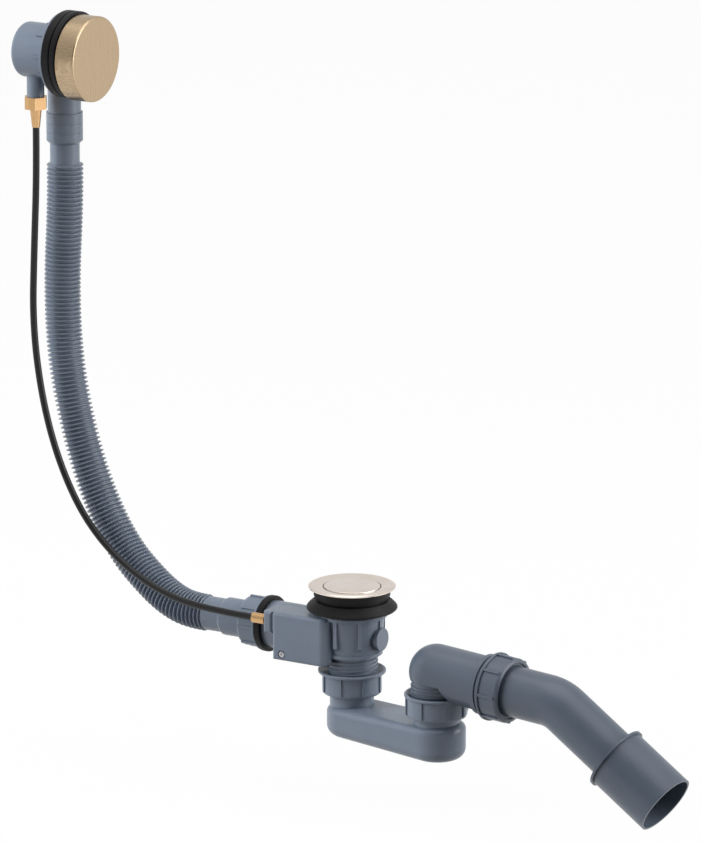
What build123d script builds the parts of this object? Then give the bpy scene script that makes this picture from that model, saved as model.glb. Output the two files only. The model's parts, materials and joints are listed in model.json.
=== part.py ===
"""Bath waste set: turning overflow, cable control, corrugated hose, pop-up waste, low trap and outlet.

Millimetres, +Z up. The origin is on the drain axis, in the plane where the bath floor seats.
+X points from the overflow towards the outlet.
"""

import os
from math import cos, pi, radians, sin, tan

from build123d import *

# Fits
running_gap = 0.3
seat_gap = 0.1

# Routes of the hose and of the control cable, point by point; their tops hang from the overflow
overflow_height = 411.8
overflow_wall = -259.7
hose_route = [
    (overflow_wall - 23.5, 24.2, overflow_height - 94.8),
    (overflow_wall - 23.5, 24.2, overflow_height - 127.8),
    (overflow_wall - 28.3, 25.0, overflow_height - 191.8),
    (-285.5, 24.2, 159.0),
    (-272.0, 21.0, 103.0),
    (-250.5, 15.5, 52.0),
    (-221.0, 9.5, 8.5),
    (-188.0, 4.5, -16.5),
    (-167.5, 1.5, -26.8),
    (-150.0, 0.0, -31.0),
    (-134.0, 0.0, -31.0),
]
cable_route = [
    (overflow_wall - 31.5, -5.1, overflow_height - 61.5),
    (overflow_wall - 31.5, -5.1, overflow_height - 99.8),
    (overflow_wall - 34.3, -5.5, overflow_height - 159.8),
    (-296.3, -5.8, 188.0),
    (-287.5, -6.6, 127.0),
    (-270.0, -8.5, 75.5),
    (-243.0, -11.5, 32.0),
    (-204.0, -16.0, 1.5),
    (-158.0, -22.5, -15.5),
    (-112.0, -27.0, -19.3),
    (-75.0, -27.0, -19.3),
]
arc_share = 0.45
cable_radius = 2.8
hose_radius = 14.8
hose_bore = 10.3

# Drain flange, plug and bath seals
upper_seal_height = 9.0
upper_seal_radius = 30.4
upper_seal_foot_radius = 27.4
upper_seal_step = 4.2
lower_seal_height = 10.0
lower_seal_radius = 36.0
lower_seal_top_radius = 30.0
lower_seal_foot_radius = 28.0
lower_seal_edge_level = 7.4
lower_seal_edge_height = 2.0
lower_seal_ridges = 4
lower_seal_ridge_height = 0.5
drain_flange_radius = 34.6
drain_flange_thickness = 3.0
drain_rim_thickness = 1.5
drain_dish = 1.3
drain_bore = 18.0
drain_tube_wall = 2.5
drain_tube_depth = 24.0
plug_radius = 22.5
plug_side_gap = 0.8
plug_thickness = 3.0
plug_recess = 4.4
plug_edge_round = 0.8
plug_dome = 1.0
plug_seal_height = 1.4
plug_seal_inner = 18.8
plug_seal_outer = 21.2
plug_boss_radius = 7.0
plug_boss_height = 4.0
stem_radius = 4.0
stem_tip_radius = 2.0
guide_radius = 7.2
guide_height = 7.0
guide_level = -4.0
guide_arms = 4
guide_arm_width = 2.4

# Waste body with its inlet neck and lever housing
body_flange_radius = 28.0
body_flange_thickness = 2.5
body_top_radius = 25.7
body_bottom_radius = 23.4
body_height = 28.0
body_ledge_radius = 24.4
body_ledge_height = 3.0
body_rib_angles = (-90, -45, 0, 45, 90, 135)
body_rib_width = 3.0
body_rib_height = 0.9
body_rib_slope = 3.0
waste_spigot_radius = 20.7
waste_spigot_root = 19.7
waste_spigot_bore = 17.0
waste_spigot_length = 26.5
neck_radius = 19.0
neck_bore = 15.5
neck_length = 73.0
neck_thread_radius = 17.2
neck_thread_length = 18.0
side_port_level = -29.2
side_boss_radius = 7.6
side_boss_bore = 5.6
side_boss_reach = 25.0
side_plug_radius = 9.4
side_plug_thickness = 3.4
side_plug_depth = 4.0
housing_left = 55.0
housing_right = 4.0
housing_front = 32.0
housing_back = -8.0
housing_top = -10.8
housing_bottom = -50.0
housing_wall = 2.0
housing_corner = 8.0
housing_edge = 3.0
cap_length = 8.5
cap_inset = 0.5
cap_bottom = -28.8
cap_edge = 2.4
cap_seam = 0.7
cap_seam_depth = 1.4
screw_left = 46.0
screw_level = -44.5
screw_radius = 1.5
screw_head_radius = 2.6
screw_head_height = 1.4
screw_recess_radius = 3.3
screw_recess = 1.2
screw_post_radius = 3.0
screw_post_reach = 24.0
screw_post_root = 12.5

# Rocker lever and control wire
lever_swing = 12.0
lever_pivot_left = 24.0
lever_input_arm = 18.7
lever_shaft_radius = 3.0
lever_shaft_back = 15.4
lever_nose_radius = 3.0
lever_arm_width = 4.0
lever_tail = 12.0
lever_tail_radius = 4.6
lever_tail_width = 10.0
lever_fork_width = 4.0
lever_fork_thickness = 2.4
lever_fork_over = 3.0
lever_hub_radius = 5.2
wire_radius = 0.6
nipple_radius = 2.0
nipple_length = 4.0
knob_turn = 90.0

# Brass cable fittings
ferrule_radius = 4.2
gland_cone_radius = 4.8
gland_tip_radius = 3.2
ferrule_length = 15.2
ferrule_stub_radius = 3.0
ferrule_stub_length = 5.0
ferrule_floor = 1.5
gland_hex_radius = 9.8
gland_hex_height = 9.8
gland_stub_radius = 4.0
gland_stub_length = 8.0
wire_bore = 1.1

# Overflow
knob_drop = 1.8
wall_gap = 0.5
rear_seal_height = 7.2
front_seal_height = 4.9
seal_radius = 34.8
seal_bore = 29.6
seal_edge_round = 1.0
hub_radius = 22.2
hub_wall = 2.4
hub_length = 35.2
hub_edge_round = 4.0
hub_flange_radius = 33.0
hub_flange_thickness = 2.5
hub_ribs = 8
hub_rib_width = 1.8
hub_rib_height = 1.2
hub_rib_length = 13.0
overflow_tube_radius = 13.4
overflow_tube_bore = 11.0
overflow_tube_above = 3.0
cable_boss_radius = 7.0
bearing_radius = 6.0
bearing_length = 4.0
journal_radius = 3.0
spindle_radius = 4.0
drum_radius = 7.5
drum_width = 6.4
drum_cheek = 1.4
clamp_radius = 30.2
clamp_ring_bore = 21.6
clamp_thickness = 3.5
clamp_hub_radius = 7.4
clamp_spokes = 3
clamp_spoke_width = 5.0
clamp_screw_circle = 26.6
clamp_screw_radius = 1.8
clamp_head_radius = 3.6
clamp_head_height = 2.0
clamp_boss_radius = 3.8
clamp_boss_length = 2.5
knob_radius = 34.3
knob_depth = 16.8
knob_wall = 1.6
knob_face = 2.0
knob_edge_round = 1.2
knob_boss_radius = 7.0
knob_boss_length = 11.0
knob_rim_gap = 1.0
spindle_grip = 9.0

# Hose cuffs and hose union
cuff_radius = 14.7
cuff_length = 23.0
cuff_taper = 2.5
cuff_neck_radius = 12.0
cuff_neck_length = 16.0
cuff_groove = 0.3
cuff_groove_width = 1.0
lower_cuff_radius = 15.2
lower_cuff_neck_radius = 13.6
cuff_socket = 18.0
cuff_lip_radius = 16.8
cuff_lip_thickness = 2.4
hose_ring_radius = 22.6
hose_ring_thickness = 5.4
hose_nut_radius = 20.0
hose_nut_rim_radius = 21.8

# Union nuts
nut_rim_thickness = 2.4
nut_rim_wall = 1.7
nut_rim_chamfer = 0.5
nut_mouth_depth = 3.6
nut_ribs = 8
nut_rib_width = 2.2
nut_rib_height = 1.1
nut_lip = 3.0
nut_recess = 1.4
nut_recess_width = 2.0
nut_edge = 2.4
nut_edge_inset = 0.7

# Trap
trap_turn = -13.0
neck_spacing = 92.2
trap_top = -82.0
trap_bottom = -110.5
trap_tilt = 2.2
trap_end_radius = 22.5
trap_inlet_shift = 3.5
trap_outlet_shift = 0.8
trap_wall = 2.3
trap_bottom_round = 9.0
trap_top_round = 5.5
inlet_neck_radius = 17.6
inlet_neck_bore = 15.0
inlet_dip = 17.0
outlet_neck_radius = 18.2
outlet_neck_bore = 15.6
neck_lip_radius = 19.8
outlet_lip_radius = 20.4
neck_lip_thickness = 2.7
washer_height = 2.2
waste_nut_top = -57.0
waste_nut_turn = 8.0
waste_nut_rim_radius = 27.0
waste_nut_radius = 23.6
waste_nut_length = 19.5
trap_nut_rim_radius = 25.6
trap_nut_radius = 24.2
trap_nut_length = 18.5

# Outlet elbow, pipe and sleeve
arm_level = -40.5
arm_turn = -4.0
arm_fall = 3.0
arm_radius = 21.8
arm_wall = 2.8
arm_length = 46.3
elbow_recess_top = -46.7
elbow_leg_radius = 19.6
elbow_leg_bore = 16.6
elbow_thread_radius = 20.6
elbow_thread_length = 9.0
arm_collar_radius = 24.2
arm_collar_length = 4.0
arm_thread_radius = 23.2
arm_thread_length = 16.0
outlet_nut_setoff = 3.5
outlet_nut_radius = 25.8
outlet_nut_rim_radius = 27.2
outlet_nut_length = 19.0
pipe_radius = 20.0
pipe_wall = 2.1
pipe_start = 50.9
pipe_bend_at = 113.3
pipe_bend = 30.0
pipe_bend_radius = 34.0
pipe_run = 82.0
socket_gap = 0.4
sleeve_at = 64.0
sleeve_length = 55.0
sleeve_radius = 25.4
sleeve_wall = 1.9
sleeve_collar_radius = 27.2
sleeve_collar_length = 2.0
sleeve_seat_length = 8.0


def turned(*outline):
    """A solid of revolution about Z from a closed outline of (radius, height) points."""
    with BuildPart() as piece:
        with BuildSketch(Plane.XZ):
            with BuildLine():
                Polyline(*outline, close=True)
            make_face()
        revolve(axis=Axis.Z)
    return piece.part


def ring(outer, inner, bottom, top):
    """A plain ring about Z."""
    return turned((inner, bottom), (outer, bottom), (outer, top), (inner, top))


def union_nut(rim_radius, radius, length, thread_bore, neck_hole):
    """A ribbed union nut about Z: flared threaded mouth at height 0, inward lip at the far end."""
    rib_length = length - nut_rim_thickness - nut_edge
    rib_middle = nut_rim_thickness + rib_length / 2
    with BuildPart() as nut:
        add(
            turned(
                (rim_radius - nut_rim_wall, 0),
                (rim_radius - nut_rim_chamfer, 0),
                (rim_radius, nut_rim_chamfer),
                (rim_radius, nut_rim_thickness - nut_rim_chamfer),
                (rim_radius - nut_rim_chamfer, nut_rim_thickness),
                (radius, nut_rim_thickness),
                (radius, length - nut_edge),
                (radius - nut_edge_inset, length - nut_edge_inset),
                (radius - nut_edge, length),
                (neck_hole + nut_recess_width, length),
                (neck_hole + nut_recess_width, length - nut_recess),
                (neck_hole, length - nut_recess),
                (neck_hole, length - nut_lip),
                (thread_bore, length - nut_lip),
                (thread_bore, nut_mouth_depth),
            )
        )
        with PolarLocations(radius, nut_ribs):
            with Locations((0, 0, rib_middle)):
                Box(2 * nut_rib_height, nut_rib_width, rib_length)
    return nut.part


def bend_radii(route):
    """The largest tangent-arc radius that each corner of a route allows."""
    radii = []
    for before, corner, after in zip(route, route[1:], route[2:]):
        arriving = Vector(corner) - Vector(before)
        leaving = Vector(after) - Vector(corner)
        half_turn = radians(arriving.get_angle(leaving)) / 2
        radii.append(arc_share * min(arriving.length, leaving.length) / tan(half_turn))
    return radii


def keep(piece, name):
    """Label a finished piece and write it."""
    piece.part.label = name
    export_step(piece.part, f"parts/{name}.step")


os.makedirs("parts", exist_ok=True)

# Levels and places worked out from the sizes above
flange_top = upper_seal_height + drain_flange_thickness
drain_tube_radius = drain_bore + drain_tube_wall
plug_floor = flange_top - plug_recess
plug_bottom = plug_floor + running_gap + plug_seal_height
body_top = -lower_seal_height
cone_top = body_top - body_flange_thickness
cone_bottom = cone_top - body_height
spigot_end = cone_bottom - waste_spigot_length
inlet_level = hose_route[-1][2]
cable_side = -cable_route[-1][1]
cable_level = cable_route[-1][2]
pivot_level = cable_level - lever_input_arm
rest_turn = radians(lever_swing)
arm_drop = (lever_pivot_left - stem_tip_radius) * tan(rest_turn)
stem_bottom = pivot_level - arm_drop + lever_nose_radius / cos(rest_turn) + running_gap
wire_pull = 2 * lever_input_arm * tan(rest_turn)
drum_groove = wire_pull / radians(knob_turn) - wire_radius - running_gap
cap_left = housing_left + cap_length
gland_bottom = cable_route[0][2]
gland_top = gland_bottom + ferrule_length + gland_hex_height
cuff_bottom = hose_route[0][2] + cuff_neck_length + cuff_taper
cuff_top = cuff_bottom + cuff_length
hose_end = -hose_route[-1][0]
spindle_level = overflow_height - knob_drop

# Local frames: inlet looks along -X from the drain axis, overflow along +X from the bath wall
inlet = Plane(origin=(0, 0, inlet_level), x_dir=(0, 1, 0), z_dir=(-1, 0, 0))
side_port = Plane(origin=(0, 0, side_port_level), x_dir=(0, 1, 0), z_dir=(1, 0, 0))
overflow = Plane(origin=(overflow_wall, 0, overflow_height), x_dir=(0, 1, 0), z_dir=(1, 0, 0))
spindle = Plane(origin=(overflow_wall, 0, spindle_level), x_dir=(0, 1, 0), z_dir=(1, 0, 0))
lower_cable = Plane(origin=(0, -cable_side, cable_level), x_dir=(0, 1, 0), z_dir=(-1, 0, 0))
upper_cable = Plane(origin=(cable_route[0][0], cable_route[0][1], 0), z_dir=(0, 0, 1))
upper_hose = Plane(origin=(hose_route[0][0], hose_route[0][1], 0), z_dir=(0, 0, 1))
housing_screw_axis = Plane(origin=(-screw_left, 0, screw_level), x_dir=(1, 0, 0), z_dir=(0, -1, 0))
lever = Plane(
    origin=(-lever_pivot_left, 0, pivot_level),
    x_dir=(cos(rest_turn), 0, -sin(rest_turn)),
    z_dir=(0, -1, 0),
)
trap = Plane.XY.rotated((0, 0, trap_turn))
trap_outlet = trap.from_local_coords(Vector(neck_spacing, 0, 0))
leg = Plane(origin=trap_outlet, z_dir=(0, 0, 1))
arm_heading = radians(arm_turn)
arm_pitch = radians(arm_fall)
arm = Plane(
    origin=trap_outlet + Vector(0, 0, arm_level),
    x_dir=(-sin(arm_heading), cos(arm_heading), 0),
    z_dir=(cos(arm_heading) * cos(arm_pitch), sin(arm_heading) * cos(arm_pitch), -sin(arm_pitch)),
)

# Drain flange: dished rim, plug recess, threaded tube and guide cross for the stem
recess_radius = plug_radius + plug_side_gap
with BuildPart() as drain_flange:
    add(
        turned(
            (drain_bore, plug_floor),
            (recess_radius, plug_floor),
            (recess_radius, flange_top - drain_dish),
            (drain_flange_radius - drain_rim_thickness, flange_top),
            (drain_flange_radius, flange_top - drain_rim_thickness / 2),
            (drain_flange_radius, flange_top - drain_rim_thickness),
            (upper_seal_radius, upper_seal_height),
            (recess_radius + drain_tube_wall, upper_seal_height),
            (recess_radius, plug_floor - drain_tube_wall),
            (drain_tube_radius, plug_floor - drain_tube_wall),
            (drain_tube_radius, -drain_tube_depth),
            (drain_bore, -drain_tube_depth),
        )
    )
    with BuildSketch(Plane.XY.offset(guide_level)):
        with PolarLocations(0, guide_arms // 2, angular_range=180):
            Rectangle(2 * drain_bore + drain_tube_wall, guide_arm_width)
        Circle(guide_radius)
    extrude(amount=-guide_height)
    with BuildSketch(Plane.XY.offset(guide_level)):
        Circle(stem_radius + running_gap)
    extrude(amount=-guide_height, mode=Mode.SUBTRACT)
keep(drain_flange, "drain_flange")

# Pop-up plug, its stem and its seal
plug_top = plug_bottom + plug_thickness
plug_shoulder = plug_top - plug_dome
with BuildPart() as plug:
    with BuildSketch(Plane.XZ):
        with BuildLine():
            plug_edge = (plug_radius, plug_shoulder)
            plug_middle = (plug_radius / 2, plug_top - plug_dome / 4)
            Polyline((0, plug_top), (0, plug_bottom), (plug_radius, plug_bottom), plug_edge)
            ThreePointArc(plug_edge, plug_middle, (0, plug_top))
        make_face()
    revolve(axis=Axis.Z)
    fillet(plug.faces().filter_by(GeomType.CYLINDER).edges().group_by(Axis.Z)[-1], plug_edge_round)
    add(ring(plug_boss_radius, stem_radius + seat_gap, plug_bottom - plug_boss_height, plug_bottom))
keep(plug, "plug")

with BuildPart() as plug_stem:
    add(
        turned(
            (0, stem_bottom),
            (stem_tip_radius, stem_bottom),
            (stem_radius, stem_bottom + stem_tip_radius),
            (stem_radius, plug_bottom),
            (0, plug_bottom),
        )
    )
keep(plug_stem, "plug_stem")

with BuildPart() as plug_seal:
    add(ring(plug_seal_outer, plug_seal_inner, plug_bottom - plug_seal_height, plug_bottom))
keep(plug_seal, "plug_seal")

# Bath seals above and below the bath floor
with BuildPart() as upper_seal:
    seal_hole = recess_radius + drain_tube_wall + seat_gap
    add(
        turned(
            (seal_hole, 0),
            (upper_seal_foot_radius, 0),
            (upper_seal_foot_radius, upper_seal_step),
            (upper_seal_radius, upper_seal_step),
            (upper_seal_radius, upper_seal_height),
            (seal_hole, upper_seal_height),
        )
    )
keep(upper_seal, "upper_seal")

seal_edge_top = lower_seal_edge_height - lower_seal_edge_level
ridge_run = (lower_seal_radius - lower_seal_top_radius) / lower_seal_ridges
ridge_fall = seal_edge_top / lower_seal_ridges
ridged_slope = []
for ridge in range(lower_seal_ridges):
    slope_radius = lower_seal_radius - ridge * ridge_run
    slope_level = seal_edge_top - ridge * ridge_fall
    ridged_slope.append((slope_radius, slope_level))
    ridged_slope.append((slope_radius - ridge_run, slope_level - ridge_fall + lower_seal_ridge_height))
with BuildPart() as lower_seal:
    seal_hole = drain_tube_radius + seat_gap
    add(
        turned(
            (seal_hole, -lower_seal_height),
            (lower_seal_foot_radius, -lower_seal_height),
            (lower_seal_radius - lower_seal_edge_height / 2, -lower_seal_edge_level),
            (lower_seal_radius, lower_seal_edge_height / 2 - lower_seal_edge_level),
            *ridged_slope,
            (lower_seal_top_radius, 0),
            (seal_hole, 0),
        )
    )
keep(lower_seal, "lower_seal")

# Waste body: tapered ribbed pot, threaded spigot, hose inlet neck, side port and screw post
with BuildPart() as body_rib:
    with BuildSketch(Plane.XZ.offset(-body_rib_width / 2)):
        with BuildLine():
            Polyline(
                (body_bottom_radius - body_rib_height, cone_top),
                (body_top_radius + body_rib_height, cone_top),
                (body_top_radius + body_rib_height, cone_bottom + 2 * body_rib_slope),
                (body_bottom_radius - body_rib_height, cone_bottom + body_rib_slope),
                close=True,
            )
        make_face()
    extrude(amount=body_rib_width)

with BuildPart() as waste_body:
    add(
        turned(
            (0, body_top),
            (body_flange_radius, body_top),
            (body_flange_radius, cone_top),
            (body_top_radius, cone_top),
            (body_bottom_radius, cone_bottom),
            (body_ledge_radius, cone_bottom),
            (body_ledge_radius, cone_bottom - body_ledge_height),
            (waste_spigot_root, cone_bottom - body_ledge_height),
            (waste_spigot_root, waste_nut_top - nut_mouth_depth),
            (waste_spigot_radius, waste_nut_top - nut_mouth_depth),
            (waste_spigot_radius, spigot_end),
            (0, spigot_end),
        )
    )
    for angle in body_rib_angles:
        add(body_rib.part, rotation=(0, 0, angle))
    with BuildSketch(inlet):
        Circle(neck_radius)
    extrude(amount=neck_length)
    with BuildSketch(inlet):
        Circle(neck_thread_radius)
    extrude(amount=neck_length + neck_thread_length)
    with BuildSketch(side_port):
        Circle(side_boss_radius)
    extrude(amount=side_boss_reach)
    with BuildSketch(housing_screw_axis.offset(screw_post_root)):
        Circle(screw_post_radius)
    extrude(amount=screw_post_reach - screw_post_root)
    add(ring(drain_tube_radius + seat_gap, 0, cone_bottom, body_top), mode=Mode.SUBTRACT)
    add(ring(waste_spigot_bore, 0, spigot_end, cone_bottom), mode=Mode.SUBTRACT)
    with BuildSketch(inlet):
        Circle(neck_bore)
    extrude(amount=neck_length + neck_thread_length, mode=Mode.SUBTRACT)
    with BuildSketch(side_port):
        Circle(side_boss_bore + seat_gap)
    extrude(amount=side_boss_reach, mode=Mode.SUBTRACT)
    with BuildSketch(side_port.offset(side_boss_reach)):
        Circle(side_plug_radius + running_gap)
    extrude(amount=side_plug_thickness, mode=Mode.SUBTRACT)
    with BuildSketch(lever.offset(-lever_shaft_back - running_gap)):
        Circle(lever_shaft_radius + running_gap)
    extrude(amount=lever_shaft_back + running_gap + housing_front, mode=Mode.SUBTRACT)
    with BuildSketch(housing_screw_axis.offset(screw_post_root)):
        Circle(screw_radius + seat_gap)
    extrude(amount=screw_post_reach - screw_post_root, mode=Mode.SUBTRACT)
keep(waste_body, "waste_body")

with BuildPart(side_port) as side_plug:
    add(
        turned(
            (0, side_boss_reach - side_plug_depth),
            (side_boss_bore, side_boss_reach - side_plug_depth),
            (side_boss_bore, side_boss_reach),
            (side_plug_radius, side_boss_reach),
            (side_plug_radius, side_boss_reach + side_plug_thickness),
            (0, side_boss_reach + side_plug_thickness),
        )
    )
    fillet(side_plug.faces().sort_by(Axis.X)[-1].edges(), plug_edge_round)
keep(side_plug, "side_plug")

# Lever housing: a rounded cover that sits round the neck and the pot
waste_envelope = turned(
    (0, 0),
    (body_flange_radius + seat_gap, 0),
    (body_flange_radius + seat_gap, cone_top - seat_gap),
    (body_top_radius + seat_gap, cone_top - seat_gap),
    (body_bottom_radius + seat_gap, cone_bottom),
    (body_ledge_radius + seat_gap, cone_bottom),
    (body_ledge_radius + seat_gap, spigot_end),
    (0, spigot_end),
)
with BuildPart() as neck_envelope:
    with BuildSketch(inlet):
        Circle(neck_radius + seat_gap)
    extrude(amount=neck_length)

housing_length = housing_left - housing_right
housing_depth = housing_front + housing_back
housing_height = housing_top - housing_bottom
housing_middle = Vector(
    -(housing_left + housing_right) / 2,
    (housing_back - housing_front) / 2,
    (housing_top + housing_bottom) / 2,
)
with BuildPart() as housing_cavity:
    with Locations(housing_middle + Vector(0, housing_wall, 0)):
        Box(housing_length - 2 * housing_wall, housing_depth, housing_height - 2 * housing_wall)
    upright_edges = housing_cavity.edges().filter_by(Axis.Z).group_by(Axis.Y)[0]
    fillet(upright_edges.sort_by(Axis.X)[-1], housing_corner - housing_wall)
    fillet(housing_cavity.faces().sort_by(Axis.Y)[0].edges(), housing_edge - housing_wall)

with BuildPart() as lever_housing:
    with Locations(housing_middle):
        Box(housing_length, housing_depth, housing_height)
    upright_edges = lever_housing.edges().filter_by(Axis.Z).group_by(Axis.Y)[0]
    fillet(upright_edges.sort_by(Axis.X)[-1], housing_corner)
    fillet(lever_housing.faces().sort_by(Axis.Y)[0].edges(), housing_edge)
    add(housing_cavity.part, mode=Mode.SUBTRACT)
    with BuildSketch(housing_screw_axis.offset(screw_post_reach)):
        Circle(screw_post_radius)
    extrude(amount=housing_front - housing_wall - screw_post_reach)
    with BuildSketch(housing_screw_axis.offset(screw_post_reach)):
        Circle(screw_radius + seat_gap)
    extrude(amount=housing_front - screw_post_reach, mode=Mode.SUBTRACT)
    with BuildSketch(housing_screw_axis.offset(housing_front)):
        Circle(screw_recess_radius)
    extrude(amount=-screw_recess, mode=Mode.SUBTRACT)
    with BuildSketch(lower_cable.offset(housing_left - housing_wall)):
        Circle(wire_bore)
    extrude(amount=housing_wall, mode=Mode.SUBTRACT)
    add(waste_envelope, mode=Mode.SUBTRACT)
    add(neck_envelope.part, mode=Mode.SUBTRACT)
keep(lever_housing, "lever_housing")

with BuildPart() as cable_end_cap:
    cap_height = housing_top - cap_bottom - cap_inset
    cap_depth = housing_depth - 2 * cap_inset
    cap_level = cap_bottom + cap_height / 2
    with Locations((-housing_left - (cap_length + cap_seam) / 2, housing_middle.Y, cap_level)):
        Box(cap_length - cap_seam, cap_depth, cap_height)
    fillet(cable_end_cap.faces().sort_by(Axis.Y)[0].edges(), cap_edge)
    with Locations((-housing_left - cap_seam / 2, housing_middle.Y, cap_level)):
        Box(cap_seam, cap_depth - 2 * cap_seam_depth, cap_height - 2 * cap_seam_depth)
    with BuildSketch(lower_cable.offset(housing_left)):
        Circle(wire_bore)
    extrude(amount=cap_length, mode=Mode.SUBTRACT)
    with BuildSketch(lower_cable.offset(cap_left)):
        Circle(ferrule_stub_radius + seat_gap)
    extrude(amount=-ferrule_stub_length - seat_gap, mode=Mode.SUBTRACT)
    add(neck_envelope.part, mode=Mode.SUBTRACT)
keep(cable_end_cap, "cable_end_cap")

screw_seat = housing_front - screw_recess
with BuildPart(housing_screw_axis) as housing_screw:
    add(
        turned(
            (0, screw_post_root + screw_radius),
            (screw_radius, screw_post_root + screw_radius),
            (screw_radius, screw_seat),
            (screw_head_radius, screw_seat),
            (screw_head_radius, screw_seat + screw_head_height / 2),
            (screw_radius, screw_seat + screw_head_height),
            (0, screw_seat + screw_head_height),
        )
    )
keep(housing_screw, "housing_screw")

# Rocker lever: shaft, lifting arm under the stem, balancing tail and upright fork for the wire
fork_height = lever_input_arm + lever_fork_over
with BuildPart() as rocker_lever:
    with BuildSketch(lever.offset(-lever_shaft_back)):
        Circle(lever_shaft_radius)
    extrude(amount=lever_shaft_back + cable_side + lever_fork_width / 2)
    with BuildSketch(lever.offset(-lever_arm_width / 2)):
        with Locations(((lever_pivot_left - lever_tail) / 2, 0)):
            SlotCenterToCenter(lever_pivot_left + lever_tail, 2 * lever_nose_radius)
        Circle(lever_hub_radius)
    extrude(amount=lever_arm_width)
    with BuildSketch(lever.offset(-lever_tail_width / 2)):
        with Locations((-lever_tail, 0)):
            Circle(lever_tail_radius)
    extrude(amount=lever_tail_width)
    with BuildSketch(lever.offset(cable_side - lever_fork_width / 2)):
        with Locations((0, fork_height / 2)):
            Rectangle(lever_fork_thickness, fork_height)
        Circle(lever_hub_radius)
    extrude(amount=lever_fork_width)
    slot_width = 2 * (wire_radius + running_gap)
    with BuildSketch(lever.offset(cable_side - slot_width / 2)):
        with Locations((0, fork_height)):
            Rectangle(2 * lever_hub_radius, 2 * (lever_fork_over + slot_width))
    extrude(amount=slot_width, mode=Mode.SUBTRACT)
keep(rocker_lever, "rocker_lever")

# Lower wire end with its nipple behind the fork, at rest with the plug down
fork_face = lever_pivot_left - lever_input_arm * tan(rest_turn) - lever_fork_thickness / 2 / cos(rest_turn)
nipple_place = fork_face - running_gap - nipple_radius
wire_tail = cap_left + ferrule_floor
with BuildPart() as wire_lower:
    with BuildSketch(lower_cable.offset(nipple_place)):
        Circle(wire_radius)
    extrude(amount=wire_tail - nipple_place)
    with Locations((-nipple_place, -cable_side, cable_level)):
        Cylinder(nipple_radius, nipple_length, rotation=(90, 0, 0))
keep(wire_lower, "wire_lower")

# Brass ferrule at the housing and brass gland at the overflow
cable_end = -cable_route[-1][0]
with BuildPart(lower_cable) as cable_ferrule:
    add(
        turned(
            (wire_bore, cap_left - ferrule_stub_length),
            (ferrule_stub_radius, cap_left - ferrule_stub_length),
            (ferrule_stub_radius, cap_left),
            (ferrule_radius, cap_left),
            (ferrule_radius, cable_end),
            (0, cable_end),
            (0, cable_end - ferrule_floor),
            (wire_bore, cable_end - ferrule_floor),
        )
    )
keep(cable_ferrule, "cable_ferrule")

hex_bottom = gland_bottom + ferrule_length
with BuildPart(upper_cable) as cable_gland:
    add(
        turned(
            (0, gland_bottom),
            (gland_tip_radius, gland_bottom),
            (gland_cone_radius, hex_bottom),
            (gland_stub_radius, hex_bottom),
            (gland_stub_radius, gland_top + gland_stub_length),
            (0, gland_top + gland_stub_length),
        )
    )
    with BuildSketch(upper_cable.offset(hex_bottom)):
        RegularPolygon(gland_hex_radius, 6)
    extrude(amount=gland_hex_height)
    with BuildSketch(upper_cable.offset(gland_bottom + ferrule_floor)):
        Circle(wire_bore)
    extrude(amount=ferrule_length + gland_hex_height + gland_stub_length, mode=Mode.SUBTRACT)
keep(cable_gland, "cable_gland")

# Control cable sheath
cable_radii = bend_radii(cable_route)
print("cable radii", [round(value, 1) for value in cable_radii])
with BuildPart() as cable_sheath:
    with BuildLine():
        cable_line = FilletPolyline(*cable_route, radius=cable_radii)
    with BuildSketch(Plane(origin=cable_route[0], z_dir=(0, 0, -1))):
        Circle(cable_radius)
    sweep(path=cable_line)
plain_volume = pi * cable_radius**2 * cable_line.length
print("cable length", cable_line.length, "volume ratio", cable_sheath.part.volume / plain_volume)
keep(cable_sheath, "cable_sheath")

with BuildPart() as wire_upper:
    with BuildSketch(upper_cable.offset(gland_bottom + 2 * ferrule_floor)):
        Circle(wire_radius)
    extrude(amount=spindle_level - gland_bottom - 2 * ferrule_floor)
keep(wire_upper, "wire_upper")

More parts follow.
